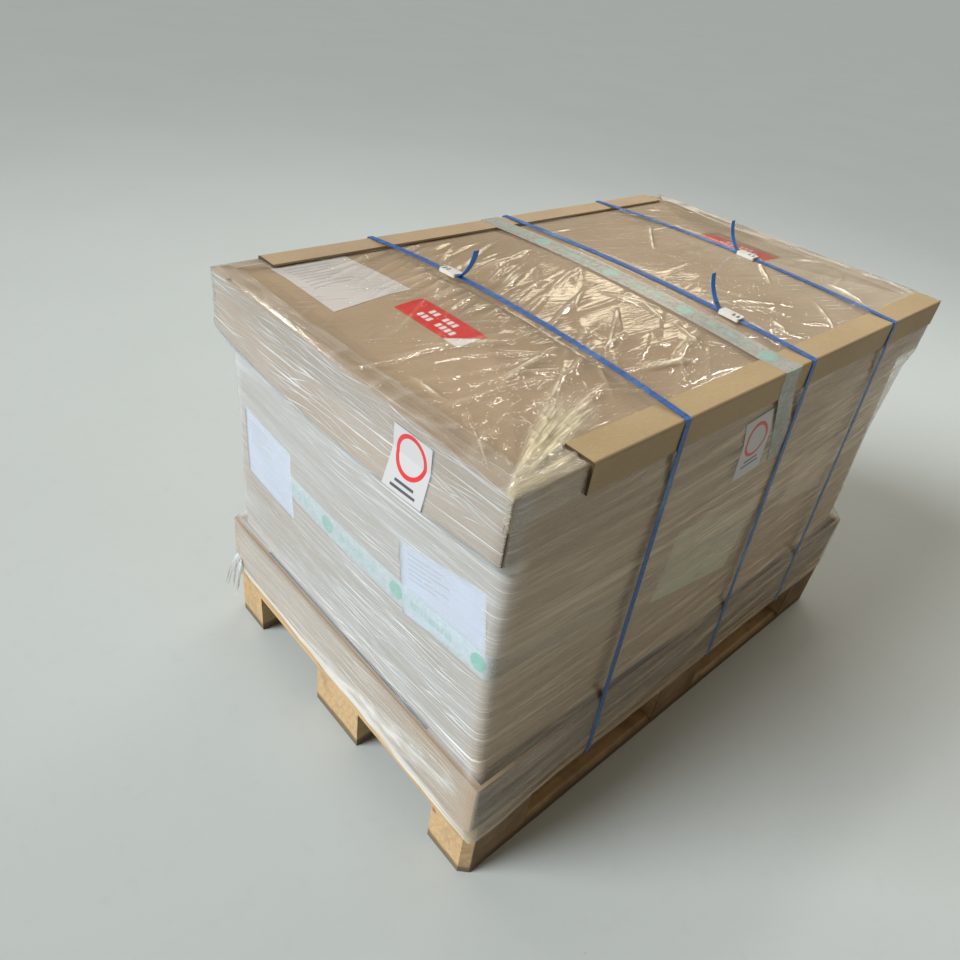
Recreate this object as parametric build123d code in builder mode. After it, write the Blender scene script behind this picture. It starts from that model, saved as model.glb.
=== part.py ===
from build123d import *
from math import atan, cos, sin
import os

# A strapped pallet load: a corrugated tray, sleeve and lid on a block pallet,
# wrapped in stretch film, with two edge protectors and three buckled straps.
# X runs along the long side, the long side at -Y is the front, and Z is up.
# The origin is the middle of the footprint, on the floor. Sizes are millimetres.

# Pallet
pallet_length = 1200.0
pallet_width = 800.0
board_thickness = 22.0
block_height = 78.0
block_length = 145.0
wide_board = 145.0
narrow_board = 100.0
corner_chamfer = 16.0
lead_in_chamfer = 10.0

# Corrugated board
wall = 6.0
fold_radius = 4.0

# Tray: a little longer than the deck and a little narrower
tray_overhang = 2.0
tray_inset = 5.0
tray_height = 120.0
tray_tab_length = 130.0

# Sleeve: drawn in from the tray's width towards its head, with the ends and sides swollen
sleeve_end_gap = 14.0
sleeve_side_gap = 17.0
edge_draw = 4.0
waist_draw = 17.0
neck_draw = 27.0
head_draw = 29.0
sleeve_corner = 18.0
waist_share = 0.55
foot_swell = (3.0, 8.0)
waist_swell = (16.0, 20.0)
neck_swell = (14.0, 16.0)
head_swell = (6.0, 8.0)

# Lid
lid_end_overhang = 26.0
lid_side_overhang = 19.0
lid_depth = 104.0
lid_top = 826.0
lid_straight_depth = 52.0
lid_flare = (20.0, 8.0)
crown_rise = 15.0
crown_end_rise = 30.0
crown_margin = 60.0
seam_width = 1.5
seam_depth = 3.0
lock_slot_length = 56.0
lock_slot_width = 9.0
lock_slot_depth = 5.0
lock_slot_y = 288.0

# Plain core that stands for the packed goods
core_gap = 3.0

# Paper, tape and film lie in layers over the board
layer_gap = 0.3
paper = 0.3
tape = 0.2
film = 0.5
film_foot = 124.0
film_fold_clear = 5.0
film_bridge = 34.0
sheet_drop = 46.0

# Tape over the lid and both protectors: it drifts aside over the lid, and again down the front
tape_width = 50.0
tape_back_x = 18.0
tape_front_x = -5.0
tape_foot_x = 46.0
tape_turn_drop = 14.0
tape_foot_drop = 72.0

# Tape round the near corner of the sleeve
tape_over_tray = 243.0
tape_end_x = 150.0
tape_end_y = 149.0

# Labels: name, place across the face from -1 to 1, place up it from 0 to 1, size and turn
lid_top_labels = [
    ("document", -0.741, 0.817, (148.0, 210.0), 0.0),
    ("sticker_left", -0.678, 0.514, (58.0, 157.0), 0.0),
    ("sticker_right", 0.687, 0.507, (60.0, 160.0), 7.0),
]
wrap_end_labels = [("ring_sticker_end", 0.516, 0.404, (79.0, 94.0), 1.0)]
wrap_front_labels = [("ring_sticker_front", -0.085, -0.154, (80.0, 112.0), 5.0)]
sleeve_end_labels = [
    ("sheet_near", 0.677, 0.635, (176.0, 140.0), 9.0),
    ("sheet_far", -0.627, 0.52, (176.0, 147.0), 0.0),
]
sleeve_front_labels = [
    ("label_green", -0.15, 0.504, (250.0, 148.0), -10.0),
    ("label_white", 0.485, 0.563, (205.0, 110.0), -8.0),
]

# Depth within which a label is looked for behind the farthest reach of its face
label_reach = 60.0

# Edge protectors
protector_leg = 50.0
protector_thickness = 4.0
protector_short = 148.0
protector_round = 4.5
protector_front_x = 54.0
protector_back_x = 15.0

# Straps and buckles
strap_width = 12.5
strap_thickness = 0.8
strap_gap = 0.4
strap_clear = 1.9
strap_bend = 6.0
strap_foot_bend = 2.5
tail_rise = 57.0
tail_reach = 33.0
tail_bow = 5.0
buckle_length = 42.0
buckle_width = 21.0
buckle_below = 1.2
buckle_height = 6.5
buckle_slot = 5.0
buckle_bar = 4.0
buckle_corner = 4.0

strap_block_gap = 3.3
strap_lean = 20.0

# Sizes that follow
tray_length = pallet_length + 2 * tray_overhang
tray_width = pallet_width - 2 * tray_inset
sleeve_half_length = tray_length / 2 - sleeve_end_gap
sleeve_half_width = tray_width / 2 - sleeve_side_gap
lid_length = 2 * (sleeve_half_length + lid_end_overhang)
lid_width = 2 * (sleeve_half_width - head_draw + lid_side_overhang)
crown_length = lid_length - 2 * crown_margin
crown_width = lid_width - 2 * crown_margin
film_fold = crown_margin - film_fold_clear
protector_length = lid_length - protector_short
middle_foot_x = block_length / 2 + strap_block_gap + strap_width / 2

# Name, X on the lid, X under the deck, rise over the lid, place of the buckle, side of its tail
straps = [
    ("left", -0.475 * lid_length / 2, -0.511 * lid_length / 2, 8.0, 0.37 * lid_width / 2, -1),
    ("middle", middle_foot_x - strap_lean, middle_foot_x, 0.0, -0.565 * lid_width / 2, 1),
    ("right", 0.606 * lid_length / 2, 0.606 * lid_length / 2, 0.0, -0.122 * lid_width / 2, 1),
]

pallet_height = 3 * board_thickness + block_height
stringer_bottom = board_thickness + block_height
deck_bottom = stringer_bottom + board_thickness
block_x = (pallet_length - block_length) / 2
edge_row_y = (pallet_width - narrow_board) / 2
tray_floor = pallet_height + wall
tray_top = pallet_height + tray_height
lid_low = lid_top - lid_depth
lid_under = lid_top - wall
lid_straight = lid_top - lid_straight_depth
sleeve_waist = tray_top + waist_share * (lid_low - tray_top)
sleeve_heights = [tray_floor, tray_top + wall, sleeve_waist, lid_low, lid_straight, lid_under]
tape_turn = lid_top - tape_turn_drop
tape_foot = lid_low - tape_foot_drop
tape_lift = layer_gap + paper + layer_gap
sleeve_wrap_lift = tape_lift + tape + layer_gap
sheet_lift = layer_gap + paper + layer_gap
wrap_lift = sheet_lift + film + layer_gap
outer_lift = wrap_lift + film + layer_gap

os.makedirs("parts", exist_ok=True)


def corner_edges(edges):
    """The upright edges that stand at a corner of the pallet."""
    reach = Vector(pallet_length / 2, pallet_width / 2).length
    return [e for e in edges.filter_by(Axis.Z) if Vector(e.center().X, e.center().Y).length > reach - 0.1]


def timber(x, y, bottom, length_x, length_y, height):
    """A sawn piece of the pallet, chamfered where it stands at a corner."""
    with BuildPart() as piece:
        with BuildSketch(Plane.XY.offset(bottom)):
            with Locations((x, y)):
                Rectangle(length_x, length_y)
        extrude(amount=height)
        corners = corner_edges(piece.edges())
        if corners:
            chamfer(corners, corner_chamfer)
    return piece.part


def side(start, end, swell):
    """One side of an outline, straight or swelling to its right by the amount given."""
    if swell == 0:
        Line(start, end)
    else:
        chord = Vector(*end) - Vector(*start)
        outward = Vector(chord.Y, -chord.X).normalized()
        ThreePointArc(start, (Vector(*start) + Vector(*end)) * 0.5 + outward * swell, end)


def draw_outline(half_x, half_y, swell, radius):
    """A rounded rectangle whose ends and long sides swell outwards."""
    corners = [(-half_x, -half_y), (half_x, -half_y), (half_x, half_y), (-half_x, half_y)]
    with BuildLine() as outline:
        for number, corner in enumerate(corners):
            side(corner, corners[(number + 1) % 4], swell[(number + 1) % 2])
    make_face(outline.edges())
    fillet(vertices(), radius)


def tower(stations, lift=0.0):
    """A solid through outlines at rising heights, grown sideways by the lift."""
    with BuildPart() as solid:
        for height, half_x, half_y, swell, radius in stations:
            with BuildSketch(Plane.XY.offset(height)):
                draw_outline(half_x + lift, half_y + lift, swell, max(radius + lift, fold_radius))
        loft(ruled=True)
    return solid.part


def draw_bow(span, base, rise):
    """A flat segment that bows up from its base line."""
    with BuildLine() as outline:
        ThreePointArc((-span / 2, base), (0, base + rise), (span / 2, base))
        Line((span / 2, base), (-span / 2, base))
    make_face(outline.edges())


def crown(base):
    """The pad by which a lid over full goods swells above its edges."""
    with BuildPart() as pad:
        with BuildSketch(Plane.YZ):
            draw_bow(crown_width, base, crown_rise)
        extrude(amount=crown_length / 2, both=True)
        with BuildSketch(Plane.XZ):
            draw_bow(crown_length, base, crown_end_rise)
        extrude(amount=crown_width, both=True, mode=Mode.INTERSECT)
    return pad.part


def sleeve_at(height):
    """How far the sleeve is drawn in at its corners, and its swell, at a height."""
    stations = [
        (tray_floor, 0.0, foot_swell),
        (tray_top + wall, edge_draw, foot_swell),
        (sleeve_waist, waist_draw, waist_swell),
        (lid_low, neck_draw, neck_swell),
        (lid_straight, head_draw, head_swell),
        (lid_under, head_draw, head_swell),
    ]
    for (low, draw_low, swell_low), (high, draw_high, swell_high) in zip(stations, stations[1:]):
        if height <= high:
            share = (height - low) / (high - low)
            swell = tuple(a + (b - a) * share for a, b in zip(swell_low, swell_high))
            return sleeve_half_width - draw_low - (draw_high - draw_low) * share, swell
    return sleeve_half_width - head_draw, head_swell


def sleeve_stations(heights):
    """Outlines of the sleeve at the heights given."""
    found = []
    for height in heights:
        half_width, swell = sleeve_at(height)
        found.append((height, sleeve_half_length, half_width, swell, sleeve_corner))
    return found


def lid_stations(lift=0.0, low=lid_low):
    """Outlines of the lid: straight at the top, flared to its lower edge."""
    half_x = lid_length / 2
    half_y = lid_width / 2
    return [
        (low, half_x, half_y, lid_flare, fold_radius),
        (lid_straight, half_x, half_y, (0, 0), fold_radius),
        (lid_top + lift, half_x, half_y, (0, 0), fold_radius),
    ]


def lid_block(lift):
    """The lid filled in and grown by a lift, for what lies over it."""
    body = tower(lid_stations(lift), lift)
    pad = crown(lid_top + lift)
    with BuildPart() as block:
        add(body)
        add(pad)
    return block.part


def lid_skin(low, high):
    """The layer between two lifts over the lid."""
    outer = lid_block(high)
    inner = lid_block(low)
    with BuildPart() as skin:
        add(outer)
        add(inner, mode=Mode.SUBTRACT)
    return skin.part


def sleeve_skin(low, high):
    """The layer between two lifts over the sleeve."""
    outer = tower(sleeve_stations(sleeve_heights), high)
    inner = tower(sleeve_stations(sleeve_heights), low)
    with BuildPart() as skin:
        add(outer)
        add(inner, mode=Mode.SUBTRACT)
    return skin.part


def export_labels(labels, skin, face, half_across, low, high):
    """Cut each label from the skin where it lies in front of the face's plane."""
    for label_name, across, up, size, turn in labels:
        with BuildPart() as label:
            with BuildSketch(face):
                with Locations((across * half_across, low + up * (high - low))):
                    Rectangle(*size, rotation=turn)
            extrude(amount=label_reach)
            add(skin, mode=Mode.INTERSECT)
        label.part.label = label_name
        export_step(label.part, f"parts/{label_name}.step")


# Bottom boards run along X, with their top edges eased for a pallet truck's wheels
span_start = pallet_length / 2 - block_length
bottom_rows = [("front", -edge_row_y, narrow_board), ("middle", 0, wide_board), ("back", edge_row_y, narrow_board)]
for name, row_y, row_width in bottom_rows:
    plank = timber(0, row_y, 0, pallet_length, row_width, board_thickness)
    with BuildPart() as bottom_board:
        add(plank)
        for start in (-span_start, block_length / 2):
            with BuildSketch(Plane.YZ.offset(start)):
                for edge in (-1, 1):
                    arris = row_y + edge * row_width / 2
                    with BuildLine():
                        Polyline(
                            (arris, board_thickness - lead_in_chamfer),
                            (arris, board_thickness),
                            (arris - edge * lead_in_chamfer, board_thickness),
                            close=True,
                        )
                    make_face()
            extrude(amount=span_start - block_length / 2, mode=Mode.SUBTRACT)
    bottom_board.part.label = f"bottom_board_{name}"
    export_step(bottom_board.part, f"parts/bottom_board_{name}.step")

# Nine blocks, each as wide as the row it stands in
for row_name, row_y, row_width in bottom_rows:
    for column_name, column_x in (("left", -block_x), ("middle", 0), ("right", block_x)):
        block = timber(column_x, row_y, board_thickness, block_length, row_width, block_height)
        block.label = f"block_{row_name}_{column_name}"
        export_step(block, f"parts/{block.label}.step")

# Stringer boards cross the blocks
for name, x in (("left", -block_x), ("middle", 0), ("right", block_x)):
    stringer = timber(x, 0, stringer_bottom, wide_board, pallet_width, board_thickness)
    stringer.label = f"stringer_{name}"
    export_step(stringer, f"parts/{stringer.label}.step")

# Five deck boards with even gaps: wide at the edges and in the middle
deck_widths = [wide_board, narrow_board, wide_board, narrow_board, wide_board]
deck_gap = (pallet_width - sum(deck_widths)) / (len(deck_widths) - 1)
deck_edge = -pallet_width / 2
for number, width in enumerate(deck_widths, start=1):
    deck_board = timber(0, deck_edge + width / 2, deck_bottom, pallet_length, width, board_thickness)
    deck_board.label = f"deck_board_{number}"
    export_step(deck_board, f"parts/{deck_board.label}.step")
    deck_edge += width + deck_gap

# Tray, with the tabs of its long walls folded inside its end walls
tab_x = tray_length / 2 - 1.5 * wall
tab_y = tray_width / 2 - wall - tray_tab_length / 2
with BuildPart() as tray:
    with BuildSketch(Plane.XY.offset(pallet_height)):
        RectangleRounded(tray_length, tray_width, fold_radius)
    extrude(amount=tray_height)
    with BuildSketch(Plane.XY.offset(tray_floor)):
        Rectangle(tray_length - 2 * wall, tray_width - 2 * wall)
    extrude(amount=tray_height, mode=Mode.SUBTRACT)
    with BuildSketch(Plane.XY.offset(tray_floor)):
        with GridLocations(2 * tab_x, 2 * tab_y, 2, 2):
            Rectangle(wall, tray_tab_length)
    extrude(amount=tray_height - wall)
tray.part.label = "tray"
export_step(tray.part, "parts/tray.step")

# Sleeve, open at both ends, swollen by the goods and drawn in at its head by the straps
sleeve = sleeve_skin(-wall, 0.0)
sleeve.label = "sleeve"
export_step(sleeve, "parts/sleeve.step")

# Lid: its long walls cover the cut ends of its end walls, which shows as a seam
lid_inner = tower(lid_stations(-wall), -wall)
lid_outer = lid_block(0)
lid_hollow_top = crown(lid_under)
seam_y = lid_width / 2 - wall - seam_width / 2
with BuildPart() as lid:
    add(lid_outer)
    add(lid_inner, mode=Mode.SUBTRACT)
    add(lid_hollow_top, mode=Mode.SUBTRACT)
    for end in (-1, 1):
        with BuildSketch(Plane.XY.offset(lid_low - wall)):
            with GridLocations(0, 2 * seam_y, 1, 2):
                with Locations((end * (lid_length / 2 - seam_depth / 2), 0)):
                    Rectangle(seam_depth, seam_width)
        extrude(amount=lid_depth, mode=Mode.SUBTRACT)
    with BuildSketch(Plane.XY.offset(lid_top - lock_slot_depth)):
        with Locations((-lid_length / 2 + lock_slot_width / 2, lock_slot_y)):
            Rectangle(lock_slot_width, lock_slot_length)
    extrude(amount=lock_slot_depth, mode=Mode.SUBTRACT)
lid.part.label = "lid"
export_step(lid.part, "parts/lid.step")

# Plain core for the goods, clear of the sleeve and filling the lid's crown
core_half_length = sleeve_half_length - wall - core_gap
core_half_width = sleeve_half_width - head_draw - wall - core_gap
core_top = lid_under - layer_gap
core_pad = crown(core_top)
with BuildPart() as load_core:
    with BuildSketch(Plane.XY.offset(tray_floor)):
        RectangleRounded(2 * core_half_length, 2 * core_half_width, sleeve_corner)
    extrude(amount=core_top - tray_floor)
    add(core_pad)
load_core.part.label = "load_core"
export_step(load_core.part, "parts/load_core.step")

# Labels on the lid and the sleeve
top_face = Plane.XY.offset(lid_top - wall)
end_face = Plane(origin=(-lid_length / 2 + label_reach / 2, 0, 0), x_dir=(0, -1, 0), z_dir=(-1, 0, 0))
front_face = Plane(origin=(0, -lid_width / 2 + label_reach / 2, 0), x_dir=(1, 0, 0), z_dir=(0, -1, 0))
lid_paper = lid_skin(layer_gap, layer_gap + paper)
sleeve_paper = sleeve_skin(layer_gap, layer_gap + paper)
export_labels(lid_top_labels, lid_paper, top_face, lid_length / 2, -lid_width / 2, lid_width / 2)
export_labels(sleeve_end_labels, sleeve_paper, end_face, sleeve_half_width, tray_top, lid_low)
export_labels(sleeve_front_labels, sleeve_paper, front_face, sleeve_half_length, tray_top, lid_low)

# Tape round the near corner of the sleeve, over the labels it crosses
tape_skin = sleeve_skin(tape_lift, tape_lift + tape)
with BuildPart() as tape_sleeve:
    with BuildSketch(Plane.XY.offset(tray_top + tape_over_tray - tape_width / 2)):
        with Locations((tape_end_x, tape_end_y)):
            Rectangle(lid_length, lid_width, align=(Align.MAX, Align.MAX))
    extrude(amount=tape_width)
    add(tape_skin, mode=Mode.INTERSECT)
tape_sleeve.part.label = "tape_sleeve"
export_step(tape_sleeve.part, "parts/tape_sleeve.step")

# Top sheet: a film laid over the lid, with a short drop down its walls
sheet_skin = lid_skin(sheet_lift, sheet_lift + film)
with BuildPart() as top_sheet:
    add(sheet_skin)
    with BuildSketch(Plane.XY.offset(lid_low - wall)):
        Rectangle(lid_length * 1.1, lid_width * 1.1)
    extrude(amount=lid_depth + wall - sheet_drop, mode=Mode.SUBTRACT)
top_sheet.part.label = "top_sheet"
export_step(top_sheet.part, "parts/top_sheet.step")


def grown(stations, lift):
    """Outlines at the same heights, grown sideways by a lift."""
    return [(height, x + lift, y + lift, swell, radius + lift) for height, x, y, swell, radius in stations]


def bridge_station():
    """Outline of the film under the lid: drawn in at the ends, and straight down the long sides."""
    height = lid_low - film_bridge
    share = film_bridge / (lid_low - sleeve_waist)
    waist_half_width, _ = sleeve_at(sleeve_waist)
    _, (end_swell, _) = sleeve_at(height)
    half_width = lid_width / 2 + (waist_half_width - lid_width / 2) * share
    side_swell = lid_flare[1] + (waist_swell[1] - lid_flare[1]) * share
    return height, sleeve_half_length, half_width, (end_swell, side_swell), sleeve_corner


def wrap_stations(lift):
    """Outlines of the stretch film, from the deck's edge up over the lid."""
    on_tray = [
        (film_foot, tray_length / 2, pallet_width / 2, (0, 0), fold_radius),
        (pallet_height + layer_gap, tray_length / 2, pallet_width / 2, (0, 0), fold_radius),
        (tray_top + layer_gap, tray_length / 2, tray_width / 2, (0, 0), fold_radius),
    ]
    on_sleeve = sleeve_stations([tray_top + film_bridge, sleeve_waist]) + [bridge_station()]
    on_lid = lid_stations(wrap_lift + lift, lid_low - layer_gap)
    return grown(on_tray + on_sleeve, sleeve_wrap_lift + lift) + grown(on_lid, wrap_lift + lift)


def wrap_skin(low, high):
    """The layer between two lifts over the inside of the stretch film."""
    outer = tower(wrap_stations(high))
    inner = tower(wrap_stations(low))
    with BuildPart() as skin:
        add(outer)
        add(inner, mode=Mode.SUBTRACT)
    return skin.part


# Stretch film, folded in over the lid's edges
wrap_film = wrap_skin(0.0, film)
with BuildPart() as film_wrap:
    add(wrap_film)
    with BuildSketch(Plane.XY.offset(lid_top)):
        Rectangle(lid_length - 2 * film_fold, lid_width - 2 * film_fold)
    extrude(amount=outer_lift, mode=Mode.SUBTRACT)
film_wrap.part.label = "film_wrap"
export_step(film_wrap.part, "parts/film_wrap.step")

# Stickers on the outside of the film
wrap_paper = wrap_skin(film + layer_gap, film + layer_gap + paper)
export_labels(wrap_end_labels, wrap_paper, end_face, lid_width / 2, lid_low, lid_top)
export_labels(wrap_front_labels, wrap_paper, front_face, lid_length / 2, lid_low, lid_top)

# Edge protectors: angles of laminated board over the lid's long edges
leg_y = lid_width / 2 + outer_lift
leg_z = lid_top + outer_lift
for name, facing, x in (("front", -1, protector_front_x), ("back", 1, protector_back_x)):
    with BuildPart() as protector:
        with BuildSketch(Plane.YZ.offset(x)) as angle:
            with BuildLine():
                Polyline(
                    (facing * leg_y, leg_z),
                    (facing * (leg_y + protector_thickness - protector_leg), leg_z),
                    (facing * (leg_y + protector_thickness - protector_leg), leg_z + protector_thickness),
                    (facing * (leg_y + protector_thickness), leg_z + protector_thickness),
                    (facing * (leg_y + protector_thickness), leg_z + protector_thickness - protector_leg),
                    (facing * leg_y, leg_z + protector_thickness - protector_leg),
                    close=True,
                )
            make_face()
            arris = angle.vertices().sort_by(lambda v: facing * v.X + v.Y)[-1]
            fillet(arris, protector_round)
        extrude(amount=protector_length / 2, both=True)
    protector.part.label = f"edge_protector_{name}"
    export_step(protector.part, f"parts/edge_protector_{name}.step")

# Tape over the film and both protectors, then down the front past the lid's lower edge
tape_inner_y = leg_y + protector_thickness - protector_leg
tape_side_y = leg_y + protector_thickness + layer_gap
tape_top_z = leg_z + protector_thickness + layer_gap
tape_mid_z = lid_top + crown_rise + sheet_lift + film + layer_gap
tape_lid_y = lid_width / 2 + lid_flare[1] + wrap_lift + film + layer_gap
tape_waist_y = sleeve_at(sleeve_waist)[0] + waist_swell[1] + sleeve_wrap_lift + film + layer_gap


def draw_tape(lift):
    """Everything under the tape's outer face, grown by the lift."""
    with BuildLine() as path:
        ThreePointArc(
            (-tape_inner_y, tape_top_z + lift),
            (0, tape_mid_z + lift),
            (tape_inner_y, tape_top_z + lift),
        )
        Polyline(
            (tape_inner_y, tape_top_z + lift),
            (tape_side_y + lift, tape_top_z + lift),
            (tape_side_y + lift, sleeve_waist),
            (-tape_waist_y - lift, sleeve_waist),
            (-tape_lid_y - lift, lid_low),
            (-tape_side_y - lift, leg_z + protector_thickness - protector_leg),
            (-tape_side_y - lift, tape_top_z + lift),
            (-tape_inner_y, tape_top_z + lift),
        )
    make_face(path.edges())


def draw_slant(start, end):
    """A band as wide as the tape whose middle runs from one point to another."""
    half = tape_width / 2
    with BuildLine() as band:
        Polyline(
            (start[0] - half, start[1]),
            (start[0] + half, start[1]),
            (end[0] + half, end[1]),
            (end[0] - half, end[1]),
            close=True,
        )
    make_face(band.edges())


with BuildPart() as tape_path:
    with BuildSketch(Plane.XY.offset(tape_turn)):
        draw_slant((tape_back_x, pallet_width / 2), (tape_front_x, -pallet_width / 2))
    extrude(amount=pallet_height)
    with BuildSketch(Plane.XZ):
        draw_slant((tape_front_x, tape_turn), (tape_foot_x, tape_foot))
    extrude(amount=pallet_width / 2)

with BuildPart() as tape_top:
    with BuildSketch(Plane.YZ):
        draw_tape(tape)
    extrude(amount=2 * tape_width, both=True)
    with BuildSketch(Plane.YZ):
        draw_tape(0.0)
    extrude(amount=3 * tape_width, both=True, mode=Mode.SUBTRACT)
    add(tape_path.part, mode=Mode.INTERSECT)
tape_top.part.label = "tape_top"
export_step(tape_top.part, "parts/tape_top.step")

# Straps, each a loop over the protectors and under the deck boards
strap_lift = protector_thickness + strap_gap
arris_y = leg_y + strap_lift
arris_z = leg_z + strap_lift
strap_rise = lid_top + crown_rise + wrap_lift + strap_clear - arris_z
tray_y = tray_width / 2 + sleeve_wrap_lift + film + strap_gap
deck_y = pallet_width / 2 + sleeve_wrap_lift + film + strap_gap
strap_foot = deck_bottom - strap_gap


def strap_height(y, rise):
    """Height over the protectors of the underside of a strap that rises by so much."""
    return rise * (1 - (y / arris_y) ** 2)


def strap_slope(y, rise):
    """Slope of a strap over the lid, rise over run towards +Y."""
    return -2 * rise * y / arris_y**2


def draw_loop(lift, lean, rise):
    """The strap's path as a closed outline in its leaning plane, grown by the lift."""
    down_front = [
        (arris_y + lift, arris_z + lift),
        (tray_y + lift, tray_top),
        (deck_y + lift, pallet_height),
        (deck_y + lift, strap_foot - lift),
    ]
    down = [(y, (z - arris_z) / cos(lean)) for y, z in down_front]
    up = [(-y, z) for y, z in reversed(down)]
    with BuildLine() as path:
        Polyline(*down, *up)
        ThreePointArc(up[-1], (0, rise + lift), down[0])
    make_face(path.edges())


for name, top_x, foot_x, extra_rise, buckle_y, tail_side in straps:
    rise = strap_rise + extra_rise
    lean = atan((foot_x - top_x) / (arris_z - strap_foot))
    across = Vector(cos(lean), 0, sin(lean))
    loop_plane = Plane(origin=(top_x, 0, arris_z), x_dir=(0, 1, 0), z_dir=across)
    tail_y = buckle_y + tail_side * (buckle_length / 2 + 1.0)
    tail_z = strap_height(tail_y, rise)
    tail_end = (tail_y + tail_side * tail_reach, tail_z + tail_rise)
    tail_middle = (tail_y + tail_side * (tail_reach / 2 + tail_bow), tail_z + tail_rise / 2 - tail_bow)

    with BuildPart() as strap:
        with BuildSketch(loop_plane):
            draw_loop(strap_thickness, lean, rise)
        extrude(amount=strap_width / 2, both=True)
        with BuildSketch(loop_plane):
            draw_loop(0.0, lean, rise)
        extrude(amount=strap_width, both=True, mode=Mode.SUBTRACT)
        with BuildSketch(loop_plane):
            with BuildLine() as tail_line:
                ThreePointArc((tail_y, tail_z + strap_thickness / 2), tail_middle, tail_end)
            trace(line_width=strap_thickness)
        extrude(amount=strap_width / 2, both=True)
    strap.part.label = f"strap_{name}"
    export_step(strap.part, f"parts/strap_{name}.step")

    # The buckle rides the strap: a tunnel for it, two slots over it, and a solid pad by the tail
    along = (loop_plane.x_dir + loop_plane.y_dir * strap_slope(buckle_y, rise)).normalized()
    middle = loop_plane.from_local_coords((buckle_y, strap_height(buckle_y, rise) + strap_thickness / 2, 0))
    up_plane = Plane(origin=middle, x_dir=along, z_dir=across.cross(along))
    run_plane = Plane(origin=middle - along * buckle_length, x_dir=across, z_dir=along)
    tunnel = strap_thickness + 2 * strap_gap
    slot_x = -tail_side * (buckle_length / 2 - buckle_bar - buckle_slot / 2)
    with BuildPart() as buckle:
        with BuildSketch(up_plane.offset(-tunnel / 2 - buckle_below)):
            RectangleRounded(buckle_length, buckle_width, buckle_corner)
        extrude(amount=buckle_height)
        with BuildSketch(run_plane):
            Rectangle(strap_width + 2 * strap_gap, tunnel)
        extrude(amount=2 * buckle_length, mode=Mode.SUBTRACT)
        with BuildSketch(up_plane):
            with Locations((slot_x, 0), (slot_x + tail_side * (buckle_slot + buckle_bar), 0)):
                RectangleRounded(buckle_slot, strap_width, 1.5)
        extrude(amount=buckle_height, mode=Mode.SUBTRACT)
    buckle.part.label = f"buckle_{name}"
    export_step(buckle.part, f"parts/buckle_{name}.step")
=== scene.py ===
"""Looks of a strapped pallet load: board, timber, stretch film, straps, tape and plain labels."""

import math

import bpy
import numpy as np
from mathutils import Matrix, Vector
from mathutils.bvhtree import BVHTree


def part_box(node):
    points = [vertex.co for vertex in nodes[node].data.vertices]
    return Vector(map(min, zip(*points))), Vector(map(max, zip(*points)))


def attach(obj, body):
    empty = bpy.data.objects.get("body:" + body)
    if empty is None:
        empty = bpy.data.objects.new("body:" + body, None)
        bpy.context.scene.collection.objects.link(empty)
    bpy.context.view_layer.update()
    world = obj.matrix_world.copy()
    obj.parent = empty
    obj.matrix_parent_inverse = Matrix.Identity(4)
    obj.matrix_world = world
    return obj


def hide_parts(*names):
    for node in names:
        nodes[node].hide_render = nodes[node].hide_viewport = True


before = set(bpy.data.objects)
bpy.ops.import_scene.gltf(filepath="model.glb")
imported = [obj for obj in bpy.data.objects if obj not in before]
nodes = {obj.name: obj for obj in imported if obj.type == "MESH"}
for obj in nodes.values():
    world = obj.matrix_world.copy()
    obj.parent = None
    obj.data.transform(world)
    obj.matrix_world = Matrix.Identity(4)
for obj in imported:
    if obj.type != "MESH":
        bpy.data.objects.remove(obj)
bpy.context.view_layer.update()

# Camera, solved on the pallet's corners
CAMERA_PLACE = (-1.12494979, -0.797633576, 1.3324515)
CAMERA_TURN = (53.6259, -6.9115, -41.3973)
CAMERA_LENS = 28.225

# Light
WORLD_LEVEL = 0.14
WORLD_COLOR = (1.0, 0.82, 0.58, 1.0)
BACKDROP_COLOR = (0.369, 0.392, 0.373, 1.0)
SUN_FROM = (-0.77, 0.36, 0.53)
SUN_LEVEL = 4.5
SUN_SPREAD = 32.0
# A faint warm lamp before the front, which the film doesn't mirror
ROOM_PLACE = (1.3, -2.4, 1.5)
ROOM_COLOR = (1.0, 0.78, 0.5)
ROOM_POWER = 3.2
# Strips that the film mirrors: place, length, width, power, turn, colour
PANELS = [
    ((1.42, 1.19, 3.81), 2.4, 0.09, 26.0, 35.0, (1.0, 0.97, 0.9)),
    ((-0.75, 2.95, 3.00), 2.0, 0.09, 22.0, 0.0, (1.0, 0.96, 0.88)),
    ((3.00, -0.26, 2.60), 2.4, 0.09, 26.0, 20.0, (1.0, 0.96, 0.88)),
    ((2.69, 1.92, 2.27), 1.2, 0.34, 5.8, 0.0, (1.0, 0.88, 0.66)),
]

# Places taken from the frame
LID_LOW, LID_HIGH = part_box("lid")
TRAY_LOW, TRAY_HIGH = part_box("tray")
WRAP_LOW, WRAP_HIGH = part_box("film_wrap")
SHEET_LOW, SHEET_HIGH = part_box("top_sheet")
PROTECTOR_LOW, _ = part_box("edge_protector_front")
STRAPS = ("left", "middle", "right")
# X of the top tape's middle, at its back end and at its front end
TAPE_ENDS = (0.018, -0.005)
SLEEVE_TAPE_Z = 0.507
# The pallet's front faces, painted darker as shade, lie in front of this Y
FRONT_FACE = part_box("block_front_left")[0].y + 0.0015
BOARD_WALL = 0.006


def hashed(xi, yi, seed):
    """A repeatable number from 0 to 1 for each whole-number pair."""
    h = xi.astype(np.int64) * 374761393 + yi.astype(np.int64) * 668265263 + seed * 974634777
    h = (h ^ (h >> 13)) * 1274126177 & 0x7FFFFFFF
    return ((h ^ (h >> 16)) & 0xFFFF) / 65535.0


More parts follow.
